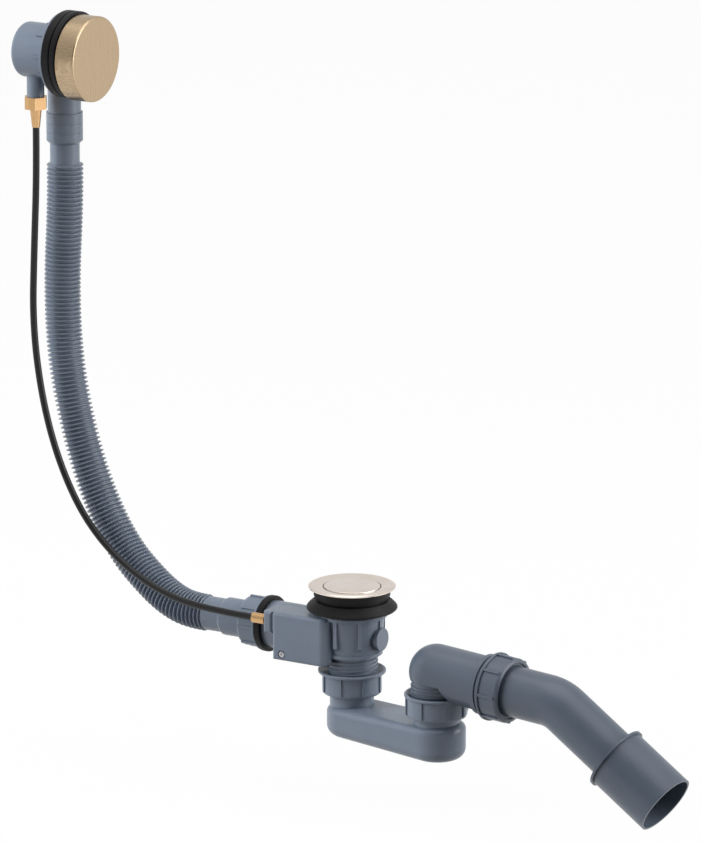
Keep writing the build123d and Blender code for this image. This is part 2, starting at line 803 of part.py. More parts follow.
# Overflow body: flanged hub, cable boss and down tube
hub_front = -rear_seal_height
hub_back = hub_front - hub_flange_thickness - hub_length
drum_plane = cable_route[0][0] - overflow_wall
bearing_back = hub_back + hub_wall
with BuildPart() as overflow_body:
    with BuildSketch(overflow.offset(hub_back)):
        Circle(hub_radius)
    extrude(amount=hub_front - hub_back)
    fillet(overflow_body.faces().sort_by(Axis.X)[0].edges(), hub_edge_round)
    with BuildSketch(overflow.offset(hub_front)):
        Circle(hub_flange_radius)
    extrude(amount=-hub_flange_thickness)
    with BuildSketch(overflow.offset(hub_front - hub_flange_thickness)):
        with PolarLocations(hub_radius, hub_ribs):
            Rectangle(2 * hub_rib_height, hub_rib_width)
    extrude(amount=-hub_rib_length)
    with BuildSketch(overflow.offset(hub_front - hub_flange_thickness)):
        with PolarLocations(clamp_screw_circle, 2, start_angle=90):
            Circle(clamp_boss_radius)
    extrude(amount=-clamp_boss_length)
    with BuildSketch(upper_hose.offset(cuff_top - cuff_socket)):
        Circle(overflow_tube_radius)
    extrude(amount=overflow_height + overflow_tube_above - cuff_top + cuff_socket)
    with BuildSketch(upper_cable.offset(gland_top)):
        Circle(cable_boss_radius)
    extrude(amount=overflow_height - gland_top)
    with BuildSketch(overflow.offset(bearing_back)):
        Circle(hub_radius - hub_wall)
    extrude(amount=hub_front - hub_back, mode=Mode.SUBTRACT)
    with BuildSketch(upper_hose.offset(cuff_top - cuff_socket)):
        Circle(overflow_tube_bore)
    extrude(amount=overflow_height - cuff_top + cuff_socket, mode=Mode.SUBTRACT)
    with BuildSketch(upper_cable.offset(gland_top)):
        Circle(gland_stub_radius + seat_gap)
    extrude(amount=gland_stub_length + seat_gap, mode=Mode.SUBTRACT)
    with BuildSketch(upper_cable.offset(gland_top)):
        Circle(wire_bore)
    extrude(amount=overflow_height - gland_top, mode=Mode.SUBTRACT)
    with BuildSketch(spindle.offset(bearing_back)):
        Circle(bearing_radius)
        Circle(journal_radius + running_gap, mode=Mode.SUBTRACT)
    extrude(amount=bearing_length)
    with BuildSketch(overflow.offset(hub_front)):
        with PolarLocations(clamp_screw_circle, 2, start_angle=90):
            Circle(clamp_screw_radius + seat_gap)
    extrude(amount=-hub_flange_thickness - clamp_boss_length, mode=Mode.SUBTRACT)
keep(overflow_body, "overflow_body")

with BuildPart(overflow) as rear_seal:
    add(ring(seal_radius, seal_bore, -rear_seal_height, 0))
    fillet(rear_seal.edges().filter_by(GeomType.CIRCLE).group_by(SortBy.RADIUS)[-1], seal_edge_round)
keep(rear_seal, "rear_seal")

clamp_back = wall_gap + front_seal_height
with BuildPart(overflow) as front_seal:
    add(ring(seal_radius, seal_bore, wall_gap, clamp_back))
    fillet(front_seal.edges().filter_by(GeomType.CIRCLE).group_by(SortBy.RADIUS)[-1], seal_edge_round)
keep(front_seal, "front_seal")

# Clamp plate: ring, spokes and spindle bearing
with BuildPart() as clamp_plate:
    with BuildSketch(overflow.offset(clamp_back)):
        Circle(clamp_radius)
        Circle(clamp_ring_bore, mode=Mode.SUBTRACT)
        with PolarLocations(clamp_ring_bore / 2, clamp_spokes):
            Rectangle(clamp_ring_bore + 2 * knob_drop, clamp_spoke_width)
        with Locations((0, -knob_drop)):
            Circle(clamp_hub_radius)
            Circle(spindle_radius + running_gap, mode=Mode.SUBTRACT)
        with PolarLocations(clamp_screw_circle, 2, start_angle=90):
            Circle(clamp_screw_radius + seat_gap, mode=Mode.SUBTRACT)
    extrude(amount=clamp_thickness)
keep(clamp_plate, "clamp_plate")

clamp_front = clamp_back + clamp_thickness
with BuildPart() as clamp_screws:
    with BuildSketch(overflow.offset(clamp_front)):
        with PolarLocations(clamp_screw_circle, 2, start_angle=90):
            Circle(clamp_head_radius)
    extrude(amount=clamp_head_height)
    with BuildSketch(overflow.offset(clamp_front)):
        with PolarLocations(clamp_screw_circle, 2, start_angle=90):
            Circle(clamp_screw_radius)
    extrude(amount=hub_front - hub_flange_thickness - clamp_front)
keep(clamp_screws, "clamp_screws")

# Knob cup with its boss, and the spindle with the cable drum
knob_back = clamp_back + knob_rim_gap
knob_front = knob_back + knob_depth
spindle_end = knob_front - knob_face - knob_boss_length + spindle_grip
with BuildPart(spindle) as overflow_knob:
    add(
        turned(
            (knob_radius - knob_wall, knob_back),
            (knob_radius, knob_back),
            (knob_radius, knob_front),
            (0, knob_front),
            (0, knob_front - knob_face),
            (knob_radius - knob_wall, knob_front - knob_face),
        )
    )
    fillet(overflow_knob.faces().sort_by(Axis.X)[-1].edges(), knob_edge_round)
    boss_back = knob_front - knob_face - knob_boss_length
    add(ring(knob_boss_radius, spindle_radius + seat_gap, boss_back, knob_front - knob_face))
keep(overflow_knob, "overflow_knob")

bearing_front = bearing_back + bearing_length
drum_back = drum_plane - drum_width / 2
drum_front = drum_plane + drum_width / 2
with BuildPart(spindle) as overflow_spindle:
    add(
        turned(
            (0, bearing_back + running_gap),
            (journal_radius, bearing_back + running_gap),
            (journal_radius, bearing_front + running_gap),
            (drum_groove, bearing_front + running_gap),
            (drum_groove, drum_back),
            (drum_radius, drum_back),
            (drum_radius, drum_back + drum_cheek),
            (drum_groove, drum_back + drum_cheek),
            (drum_groove, drum_front - drum_cheek),
            (drum_radius, drum_front - drum_cheek),
            (drum_radius, drum_front),
            (spindle_radius, drum_front),
            (spindle_radius, spindle_end),
            (0, spindle_end),
        )
    )
keep(overflow_spindle, "overflow_spindle")

# Hose cuffs: wide socket on the down tube, wide lipped end in the hose nut
with BuildPart(upper_hose) as cuff_upper:
    groove_one = cuff_top - cuff_length / 3
    groove_two = cuff_top - 2 * cuff_length / 3
    add(
        turned(
            (hose_bore, hose_route[0][2]),
            (cuff_neck_radius, hose_route[0][2]),
            (cuff_neck_radius, cuff_bottom - cuff_taper),
            (cuff_radius, cuff_bottom),
            (cuff_radius, groove_two - cuff_groove_width),
            (cuff_radius - cuff_groove, groove_two - cuff_groove_width),
            (cuff_radius - cuff_groove, groove_two),
            (cuff_radius, groove_two),
            (cuff_radius, groove_one - cuff_groove_width),
            (cuff_radius - cuff_groove, groove_one - cuff_groove_width),
            (cuff_radius - cuff_groove, groove_one),
            (cuff_radius, groove_one),
            (cuff_radius, cuff_top),
            (overflow_tube_radius + seat_gap, cuff_top),
            (overflow_tube_radius + seat_gap, cuff_top - cuff_socket),
            (hose_bore, cuff_top - cuff_socket),
        )
    )
keep(cuff_upper, "cuff_upper")

ring_out = neck_length + hose_ring_thickness
neck_end = neck_length + neck_thread_length
lip_out = neck_end + cuff_lip_thickness
hose_nut_length = lip_out + nut_lip - ring_out
with BuildPart(inlet) as cuff_lower:
    add(
        turned(
            (hose_bore, neck_end),
            (cuff_lip_radius, neck_end),
            (cuff_lip_radius, lip_out),
            (lower_cuff_radius, lip_out),
            (lower_cuff_radius, hose_end - cuff_neck_length - cuff_taper),
            (lower_cuff_neck_radius, hose_end - cuff_neck_length),
            (lower_cuff_neck_radius, hose_end),
            (hose_bore, hose_end),
        )
    )
keep(cuff_lower, "cuff_lower")

with BuildPart(inlet) as hose_joint_ring:
    add(ring(hose_ring_radius, neck_thread_radius + seat_gap, neck_length, ring_out))
    fillet(hose_joint_ring.edges().filter_by(GeomType.CIRCLE).group_by(SortBy.RADIUS)[-1], seal_edge_round)
keep(hose_joint_ring, "hose_joint_ring")

with BuildPart(inlet.offset(ring_out)) as hose_nut:
    add(
        union_nut(
            hose_nut_rim_radius,
            hose_nut_radius,
            hose_nut_length,
            neck_thread_radius + seat_gap,
            lower_cuff_radius + seat_gap,
        )
    )
keep(hose_nut, "hose_nut")

# Overflow hose between the cuffs
hose_radii = bend_radii(hose_route)
print("hose radii", [round(value, 1) for value in hose_radii])
with BuildPart() as overflow_hose:
    with BuildLine():
        hose_line = FilletPolyline(*hose_route, radius=hose_radii)
    with BuildSketch(Plane(origin=hose_route[0], z_dir=(0, 0, -1))):
        Circle(hose_radius)
        Circle(hose_bore, mode=Mode.SUBTRACT)
    sweep(path=hose_line)
print("hose length", hose_line.length)
keep(overflow_hose, "overflow_hose")

# Waste nut and washer round the trap's inlet neck
waste_nut_end = waste_nut_top - waste_nut_length
inlet_lip_bottom = waste_nut_end + nut_lip + running_gap
inlet_lip_top = inlet_lip_bottom + neck_lip_thickness
waste_nut_mouth = Plane(origin=(0, 0, waste_nut_top), z_dir=(0, 0, -1)).rotated((0, 0, waste_nut_turn))
with BuildPart(waste_nut_mouth) as waste_nut:
    add(
        union_nut(
            waste_nut_rim_radius,
            waste_nut_radius,
            waste_nut_length,
            waste_spigot_radius + seat_gap,
            inlet_neck_radius + running_gap,
        )
    )
keep(waste_nut, "waste_nut")

with BuildPart() as waste_washer:
    add(ring(neck_lip_radius, waste_spigot_bore, inlet_lip_top + running_gap, spigot_end))
keep(waste_washer, "waste_washer")

# Trap bowl: rounded trough with a dipping inlet neck and a plain outlet neck, both lipped
outlet_lip_bottom = waste_nut_end + nut_lip + running_gap
outlet_lip_top = outlet_lip_bottom + neck_lip_thickness
trough_length = neck_spacing - trap_inlet_shift + trap_outlet_shift
trough_middle = trap_inlet_shift + trough_length / 2
lid_point = trap.from_local_coords(Vector(neck_spacing, 0, trap_top))
lid = Plane(origin=lid_point, z_dir=(0, 0, 1)).rotated((0, -trap_tilt, trap_turn))
with BuildPart() as trough:
    with BuildSketch(trap.offset(trap_bottom + trap_wall)):
        with Locations((trough_middle, 0)):
            SlotCenterToCenter(trough_length, 2 * (trap_end_radius - trap_wall))
    extrude(amount=-trap_bottom)
    split(bisect_by=lid.offset(-trap_wall), keep=Keep.BOTTOM)
    fillet(trough.faces().sort_by(Axis.Z)[0].edges(), trap_bottom_round - trap_wall)

with BuildPart() as trap_bowl:
    with BuildSketch(trap.offset(trap_bottom)):
        with Locations((trough_middle, 0)):
            SlotCenterToCenter(trough_length, 2 * trap_end_radius)
    extrude(amount=-trap_bottom)
    split(bisect_by=lid, keep=Keep.BOTTOM)
    fillet(trap_bowl.faces().sort_by(Axis.Z)[0].edges(), trap_bottom_round)
    fillet(trap_bowl.faces().sort_by(Axis.Z)[-1].edges(), trap_top_round)
    add(trough.part, mode=Mode.SUBTRACT)
    with BuildSketch(trap.offset(trap_top - inlet_dip)):
        Circle(inlet_neck_radius)
    extrude(amount=inlet_lip_top - trap_top + inlet_dip)
    with BuildSketch(trap.offset(inlet_lip_bottom)):
        Circle(neck_lip_radius)
    extrude(amount=neck_lip_thickness)
    with BuildSketch(trap.offset(trap_top - trap_wall)):
        with Locations((neck_spacing, 0)):
            Circle(outlet_neck_radius)
    extrude(amount=outlet_lip_top - trap_top + trap_wall)
    with BuildSketch(trap.offset(outlet_lip_bottom)):
        with Locations((neck_spacing, 0)):
            Circle(outlet_lip_radius)
    extrude(amount=neck_lip_thickness)
    with BuildSketch(trap.offset(trap_top - inlet_dip)):
        Circle(inlet_neck_bore)
    extrude(amount=inlet_lip_top - trap_top + inlet_dip, mode=Mode.SUBTRACT)
    with BuildSketch(trap.offset(trap_top - 2 * trap_wall)):
        with Locations((neck_spacing, 0)):
            Circle(outlet_neck_bore)
    extrude(amount=outlet_lip_top - trap_top + 2 * trap_wall, mode=Mode.SUBTRACT)
keep(trap_bowl, "trap_bowl")

trap_nut_top = waste_nut_end + trap_nut_length
with BuildPart(Plane(origin=trap_outlet + Vector(0, 0, trap_nut_top), z_dir=(0, 0, -1))) as trap_nut:
    add(
        union_nut(
            trap_nut_rim_radius,
            trap_nut_radius,
            trap_nut_length,
            elbow_thread_radius + seat_gap,
            outlet_neck_radius + running_gap,
        )
    )
keep(trap_nut, "trap_nut")

leg_bottom = outlet_lip_top + running_gap + washer_height
with BuildPart(leg) as trap_washer:
    add(ring(elbow_thread_radius - seat_gap, elbow_leg_bore, outlet_lip_top + running_gap, leg_bottom))
keep(trap_washer, "trap_washer")

# Outlet elbow: threaded leg, ball corner and falling arm with its collar and thread
room_radius = trap_nut_rim_radius + 2 * running_gap
with BuildPart() as nut_clearance:
    with Locations(leg):
        add(ring(room_radius, 0, leg_bottom, elbow_recess_top))
with BuildPart() as inner_clearance:
    with Locations(leg):
        add(ring(room_radius + arm_wall, 0, leg_bottom, elbow_recess_top + arm_wall))
arm_thread_start = arm_length + arm_collar_length
arm_end = arm_thread_start + arm_thread_length
with BuildPart() as elbow_room:
    with BuildSketch(arm):
        Circle(arm_radius - arm_wall)
    extrude(amount=arm_length)
    with Locations(arm):
        Sphere(arm_radius - arm_wall)
    add(inner_clearance.part, mode=Mode.SUBTRACT)
    with BuildSketch(leg.offset(leg_bottom)):
        Circle(elbow_leg_bore)
    extrude(amount=arm_level - leg_bottom)
    with BuildSketch(arm.offset(arm_length)):
        Circle(arm_radius - arm_wall)
    extrude(amount=arm_collar_length)
    with BuildSketch(arm.offset(arm_thread_start)):
        Circle(pipe_radius + socket_gap)
    extrude(amount=arm_thread_length)

with BuildPart() as outlet_elbow:
    with BuildSketch(arm):
        Circle(arm_radius)
    extrude(amount=arm_length)
    with Locations(arm):
        Sphere(arm_radius)
    with BuildSketch(arm.offset(arm_length)):
        Circle(arm_collar_radius)
    extrude(amount=arm_collar_length)
    with BuildSketch(arm.offset(arm_thread_start)):
        Circle(arm_thread_radius)
    extrude(amount=arm_thread_length)
    add(nut_clearance.part, mode=Mode.SUBTRACT)
    with BuildSketch(leg.offset(leg_bottom)):
        Circle(elbow_leg_radius)
    extrude(amount=arm_level - leg_bottom)
    with BuildSketch(leg.offset(leg_bottom)):
        Circle(elbow_thread_radius)
    extrude(amount=elbow_thread_length)
    add(elbow_room.part, mode=Mode.SUBTRACT)
keep(outlet_elbow, "outlet_elbow")

# Outlet nut with its taper seal on the arm's thread
outlet_nut_start = arm_thread_start + outlet_nut_setoff
outlet_nut_floor = outlet_nut_start + outlet_nut_length - nut_lip
with BuildPart(arm.offset(outlet_nut_start)) as outlet_nut:
    add(
        union_nut(
            outlet_nut_rim_radius,
            outlet_nut_radius,
            outlet_nut_length,
            arm_thread_radius + seat_gap,
            pipe_radius + socket_gap,
        )
    )
keep(outlet_nut, "outlet_nut")

with BuildPart(arm) as outlet_seal:
    add(
        turned(
            (pipe_radius + socket_gap, arm_end),
            (arm_thread_radius, arm_end),
            (arm_thread_radius, outlet_nut_floor),
            (pipe_radius + socket_gap, outlet_nut_floor),
        )
    )
keep(outlet_seal, "outlet_seal")

# Outlet pipe with one bend, and the adapter sleeve on its end
bend_point = arm.from_local_coords(Vector(0, 0, pipe_bend_at))
fall = radians(arm_fall + pipe_bend)
pipe_heading = Vector(cos(arm_heading) * cos(fall), sin(arm_heading) * cos(fall), -sin(fall))
pipe_points = [
    arm.from_local_coords(Vector(0, 0, pipe_start)),
    bend_point,
    bend_point + pipe_heading * pipe_run,
]
with BuildPart() as outlet_pipe:
    with BuildLine():
        pipe_line = FilletPolyline(*pipe_points, radius=pipe_bend_radius)
    with BuildSketch(arm.offset(pipe_start)):
        Circle(pipe_radius)
        Circle(pipe_radius - pipe_wall, mode=Mode.SUBTRACT)
    sweep(path=pipe_line)
keep(outlet_pipe, "outlet_pipe")

sleeve = Plane(
    origin=bend_point + pipe_heading * sleeve_at,
    x_dir=(-sin(arm_heading), cos(arm_heading), 0),
    z_dir=pipe_heading,
)
with BuildPart(sleeve) as adapter_sleeve:
    add(
        turned(
            (pipe_radius + seat_gap, 0),
            (sleeve_collar_radius, 0),
            (sleeve_collar_radius, sleeve_collar_length),
            (sleeve_radius, sleeve_collar_length),
            (sleeve_radius, sleeve_length),
            (sleeve_radius - sleeve_wall, sleeve_length),
            (sleeve_radius - sleeve_wall, sleeve_seat_length),
            (pipe_radius + seat_gap, sleeve_seat_length),
        )
    )
keep(adapter_sleeve, "adapter_sleeve")
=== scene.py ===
# %% [markdown]
# # A bath waste set, dressed piece by piece
# The real object is a set of moulded blue-grey pipe pieces, held together by ribbed union nuts. A turning
# knob at the overflow pulls a wire through a black sheath, and the wire lifts the plug of the drain.
# The solids arrive as a fixed frame, at their real size. Here they get their finishes, and the pieces that
# show fine form (the cable, the hose, two threads and a screw head) are modelled over them.

# %% Load the frame
import json
from math import cos, radians, sin, tan

import bpy
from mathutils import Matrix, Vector


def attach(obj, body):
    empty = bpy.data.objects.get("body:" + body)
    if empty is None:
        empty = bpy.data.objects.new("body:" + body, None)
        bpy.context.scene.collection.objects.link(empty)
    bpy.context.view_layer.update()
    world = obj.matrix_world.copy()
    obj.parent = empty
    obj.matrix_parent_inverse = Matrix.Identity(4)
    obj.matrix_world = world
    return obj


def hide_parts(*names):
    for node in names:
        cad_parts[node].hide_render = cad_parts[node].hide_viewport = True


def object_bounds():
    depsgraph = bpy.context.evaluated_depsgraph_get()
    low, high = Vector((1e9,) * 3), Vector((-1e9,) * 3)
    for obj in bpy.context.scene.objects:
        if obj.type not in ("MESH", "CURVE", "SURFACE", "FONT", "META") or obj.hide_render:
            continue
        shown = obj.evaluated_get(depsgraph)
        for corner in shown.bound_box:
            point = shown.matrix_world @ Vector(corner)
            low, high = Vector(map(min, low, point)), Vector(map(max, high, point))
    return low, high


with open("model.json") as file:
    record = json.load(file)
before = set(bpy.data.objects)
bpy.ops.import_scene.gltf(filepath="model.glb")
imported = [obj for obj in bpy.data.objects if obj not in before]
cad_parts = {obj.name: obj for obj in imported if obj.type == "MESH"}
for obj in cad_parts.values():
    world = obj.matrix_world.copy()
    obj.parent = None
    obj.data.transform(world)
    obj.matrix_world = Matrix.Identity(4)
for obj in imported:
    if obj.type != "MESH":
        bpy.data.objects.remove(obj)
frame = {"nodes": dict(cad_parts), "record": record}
solid_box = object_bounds()
nodes = frame["nodes"]
MM = 0.001
print("solids loaded:", len(nodes), "box", [round(side, 4) for side in solid_box[1] - solid_box[0]])

# %% [markdown]
# ## Camera
# A catalogue picture is taken from far away with a long lens, so that a pipe looks as wide at its far end
# as at its near end. The camera could be set by eye, but the drain flange and the knob are circles that look
# like ellipses from here, so its place and its opening angle were fitted to those. The frame then matches
# without any shift.

# %% Camera at the picture's angle
CAMERA_PLACE = Vector((2.6946, -4.4869, 1.4931))
CAMERA_BACK = Vector((0.49877, -0.83009, 0.24936))  # the direction from the object to the camera
FIELD_OF_VIEW = radians(7.0)
SENSOR_WIDTH = 36.0
FARTHEST_SEEN = 100.0

camera_data = bpy.data.cameras.new("picture_camera")
camera_data.sensor_width = SENSOR_WIDTH
camera_data.lens = SENSOR_WIDTH / 2 / tan(FIELD_OF_VIEW / 2)
camera_data.clip_end = FARTHEST_SEEN
camera = bpy.data.objects.new("picture_camera", camera_data)
camera.location = CAMERA_PLACE
camera.rotation_mode = "QUATERNION"
camera.rotation_quaternion = (-CAMERA_BACK).to_track_quat("-Z", "Y")
bpy.context.scene.collection.objects.link(camera)
bpy.context.scene.camera = camera
bpy.context.scene.view_settings.view_transform = "Standard"
print("camera lens", round(camera_data.lens, 1), "mm")

# %% [markdown]
# ## Small helpers for modelling
# Operators act on whatever is selected, so each new piece starts from an empty selection. A finished piece
# lies at the origin with its place in its mesh, rides on a body, and takes its finish.
# Every piece needs these steps, so they are written once.

# %% Helpers for selecting and finishing
MERGE_DISTANCE = 1e-6


def start_clean():
    """Leave edit mode and select nothing."""
    if bpy.context.object and bpy.context.object.mode != "OBJECT":
        bpy.ops.object.mode_set(mode="OBJECT")
    bpy.ops.object.select_all(action="DESELECT")


def pick(piece):
    """Select one piece alone and make it the active one."""
    start_clean()
    bpy.context.view_layer.objects.active = piece
    piece.select_set(True)


def apply_all_modifiers(piece):
    """Apply the modifiers of one piece from the top down."""
    pick(piece)
    for modifier in list(piece.modifiers):
        bpy.ops.object.modifier_apply(modifier=modifier.name)


def close_and_smooth(piece, angle):
    """Merge doubles, turn the faces outwards and shade smooth up to an angle in degrees."""
    pick(piece)
    bpy.ops.object.mode_set(mode="EDIT")
    bpy.ops.mesh.select_all(action="SELECT")
    bpy.ops.mesh.remove_doubles(threshold=MERGE_DISTANCE)
    bpy.ops.mesh.normals_make_consistent(inside=False)
    bpy.ops.object.mode_set(mode="OBJECT")
    bpy.ops.object.shade_smooth_by_angle(angle=radians(angle))


def settle(piece, body, slot, material, *stands_for):
    """Put a finished piece on its body, with its finish and the solids it stands for."""
    piece.data.materials.clear()
    piece.data.materials.append(material)
    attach(piece, body)
    if stands_for:
        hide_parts(*stands_for)
    print("made", piece.name, "on", body)


# %% [markdown]
# ## Floor
# The set is pictured on plain white. Strong lamps could bleach a grey floor, but they would bleach the
# plastic with it. Here the floor glows white only for the camera and in mirror images, a small share of lit
# paint keeps the shadow, and the light that it throws back on the object is that of a dull grey.

# %% Helpers for what the camera and reflections see
def feed(tree, source, socket):
    """Link a socket to its source, or set it to a plain number."""
    if hasattr(source, "is_output"):
        tree.links.new(source, socket)
    else:
        socket.default_value = source


def either(tree, first, second):
    """The larger of two values."""
    node = tree.nodes.new("ShaderNodeMath")
    node.operation = "MAXIMUM"
    tree.links.new(first, node.inputs[0])
    tree.links.new(second, node.inputs[1])
    return node.outputs[0]


def scaled(tree, value, factor):
    """A value times a factor, which may be a socket or a number."""
    node = tree.nodes.new("ShaderNodeMath")
    node.operation = "MULTIPLY"
    tree.links.new(value, node.inputs[0])
    feed(tree, factor, node.inputs[1])
    return node.outputs[0]


def mirrored_ray(tree, path):
    """One for a ray that a glossy or a clear surface sends on, zero for any other."""
    return either(tree, path.outputs["Is Glossy Ray"], path.outputs["Is Transmission Ray"])


def mixed_shader(tree, share, first, second):
    """One shader that goes from the first to the second by a share."""
    mix = tree.nodes.new("ShaderNodeMixShader")
    tree.links.new(share, mix.inputs[0])
    tree.links.new(first.outputs[0], mix.inputs[1])
    tree.links.new(second.outputs[0], mix.inputs[2])
    return mix


# %% Floor
FLOOR_DROP = 0.02
FLOOR_SIZE = 40.0
FLOOR_PAINT = (0.9, 0.9, 0.9, 1)
FLOOR_ROUGHNESS = 0.9
FLOOR_BOUNCE = (0.25, 0.25, 0.26, 1)
WHITE_SHARE = 0.96

floor_level = solid_box[0].z - FLOOR_DROP
start_clean()
bpy.ops.mesh.primitive_plane_add(size=FLOOR_SIZE, location=(0, 0, floor_level))
floor = bpy.context.object
floor.name = "studio_floor"
floor_paint = bpy.data.materials.new("studio_floor_white")
floor_paint.use_nodes = True
tree = floor_paint.node_tree
paint = tree.nodes["Principled BSDF"]
paint.inputs["Base Color"].default_value = FLOOR_PAINT
paint.inputs["Roughness"].default_value = FLOOR_ROUGHNESS
glow = tree.nodes.new("ShaderNodeEmission")
bounce = tree.nodes.new("ShaderNodeBsdfDiffuse")
bounce.inputs["Color"].default_value = FLOOR_BOUNCE
path = tree.nodes.new("ShaderNodeLightPath")
seen = either(tree, path.outputs["Is Camera Ray"], mirrored_ray(tree, path))
white_floor = mixed_shader(tree, scaled(tree, seen, WHITE_SHARE), paint, glow)
whole_floor = mixed_shader(tree, path.outputs["Is Diffuse Ray"], white_floor, bounce)
tree.links.new(whole_floor.outputs[0], tree.nodes["Material Output"].inputs["Surface"])
floor.data.materials.append(floor_paint)
print("floor at", round(floor_level, 4))

# %% [markdown]
# ## Room
# The room is one world shader. A picture of a studio could light the set, but two plain backgrounds do it
# with nothing to load: a dim cool one fills the shadows, and a white one is there for the camera and for
# mirror images. In mirror images the white one fades towards the camera's side, as a studio does, so a pipe
# is darker along the line that faces the camera.

# %% World: white behind the object, dimmer where the camera stands
ROOM_TINT = (0.9, 0.95, 1.0, 1)
ROOM_STRENGTH = 0.08
WHITE_STRENGTH = 1.0
FADE_START, FADE_END = 0.15, 0.85  # cosines of the angle between a ray and the camera's direction
FADED_WHITE = 0.35

world = bpy.data.worlds.new("studio_world")
bpy.context.scene.world = world
world.use_nodes = True
tree = world.node_tree
dim = tree.nodes["Background"]
dim.inputs["Color"].default_value = ROOM_TINT
dim.inputs["Strength"].default_value = ROOM_STRENGTH
white = tree.nodes.new("ShaderNodeBackground")
white.inputs["Strength"].default_value = WHITE_STRENGTH
towards_camera = tree.nodes.new("ShaderNodeVectorMath")
towards_camera.operation = "DOT_PRODUCT"
ray = tree.nodes.new("ShaderNodeTexCoord").outputs["Generated"]
tree.links.new(ray, towards_camera.inputs[0])
towards_camera.inputs[1].default_value = CAMERA_BACK
open_side = tree.nodes.new("ShaderNodeMapRange")
open_side.interpolation_type = "SMOOTHSTEP"
open_side.inputs["From Min"].default_value = FADE_START
open_side.inputs["From Max"].default_value = FADE_END
open_side.inputs["To Min"].default_value = 1.0
open_side.inputs["To Max"].default_value = FADED_WHITE
tree.links.new(towards_camera.outputs["Value"], open_side.inputs["Value"])
path = tree.nodes.new("ShaderNodeLightPath")
in_mirrors = scaled(tree, mirrored_ray(tree, path), open_side.outputs["Result"])
seen = either(tree, path.outputs["Is Camera Ray"], in_mirrors)
whole_room = mixed_shader(tree, seen, dim, white)
tree.links.new(whole_room.outputs[0], tree.nodes["World Output"].inputs["Surface"])
print("world strength", ROOM_STRENGTH)

# %% [markdown]
# ## Soft panels
# A large lamp gives soft shadows and long pale stripes on a pipe, where a small one would give hard shadows
# and bright dots. So three rectangles of light look at the object: a strong one from the left, which makes
# every face that looks left pale, one from the right and a weak one from above. The left panel is kept out
# of mirror images, because it would burn out the brushed metal.

# %% Soft panels
AIM = Vector((-0.03, 0, 0.12))


def soft_panel(name, azimuth, elevation, distance, width, height, watts):
    """A rectangular lamp that looks at the object from an angle round it."""
    turn, rise = radians(azimuth), radians(elevation)
    back = Vector((sin(turn) * cos(rise), -cos(turn) * cos(rise), sin(rise)))
    lamp = bpy.data.lights.new(name, "AREA")
    lamp.shape = "RECTANGLE"
    lamp.size = width
    lamp.size_y = height
    lamp.energy = watts
    panel = bpy.data.objects.new(name, lamp)
    panel.location = AIM + back * distance
    panel.rotation_mode = "QUATERNION"
    panel.rotation_quaternion = back.to_track_quat("Z", "Y")
    bpy.context.scene.collection.objects.link(panel)
    return panel


left_panel = soft_panel(
    "left_panel", azimuth=-54, elevation=18, distance=2.8, width=2.0, height=3.0, watts=104)
left_panel.visible_glossy = False
soft_panel("right_panel", azimuth=110, elevation=14, distance=2.4, width=2.0, height=3.0, watts=66)
soft_panel("top_panel", azimuth=20, elevation=84, distance=2.4, width=2.6, height=2.6, watts=30)
print("lamps:", [lamp.name for lamp in bpy.data.lights])

# %% [markdown]
# ## Shared surface effects
# No surface of the set is one flat colour. An effect could be painted on, but a pattern worked out from the
# place on the object needs no picture and has no seams. Each effect is a node group with two colours and two
# roughnesses to go between. It gives out values that change over the surface, and each finish sets its own
# amounts.

# %% Helpers for the effects
FLOAT, COLOUR = "NodeSocketFloat", "NodeSocketColor"
EFFECT_INPUTS = (("Pale", COLOUR), ("Deep", COLOUR), ("Smooth", FLOAT), ("Rough", FLOAT))
EFFECT_OUTPUTS = (("Colour", COLOUR), ("Roughness", FLOAT), ("Height", FLOAT))
NOISE_LOW, NOISE_HIGH = 0.3, 0.7  # most of a noise lies between these
MIX_FIRST, MIX_SECOND, MIX_RESULT = 6, 7, 2  # the colour sockets of a Mix node


def effect_group(name):
    """A node group with the sockets of an effect, and the place on the object that it reads."""
    group = bpy.data.node_groups.new(name, "ShaderNodeTree")
    for socket, kind in EFFECT_INPUTS:
        group.interface.new_socket(socket, in_out="INPUT", socket_type=kind)
    for socket, kind in EFFECT_OUTPUTS:
        group.interface.new_socket(socket, in_out="OUTPUT", socket_type=kind)
    return group, group.nodes.new("ShaderNodeTexCoord").outputs["Object"]


def noise(tree, vector, scale, detail):
    """A noise texture read at a vector, as a value from 0 to 1."""
    texture = tree.nodes.new("ShaderNodeTexNoise")
    texture.inputs["Scale"].default_value = scale
    texture.inputs["Detail"].default_value = detail
    tree.links.new(vector, texture.inputs["Vector"])
    return texture.outputs["Fac"]


def spread(tree, value, low, high):
    """Stretch the middle of a noise to low..high, where the limits may be sockets."""
    span = tree.nodes.new("ShaderNodeMapRange")
    tree.links.new(value, span.inputs["Value"])
    span.inputs["From Min"].default_value = NOISE_LOW
    span.inputs["From Max"].default_value = NOISE_HIGH
    feed(tree, low, span.inputs["To Min"])
    feed(tree, high, span.inputs["To Max"])
    return span.outputs["Result"]


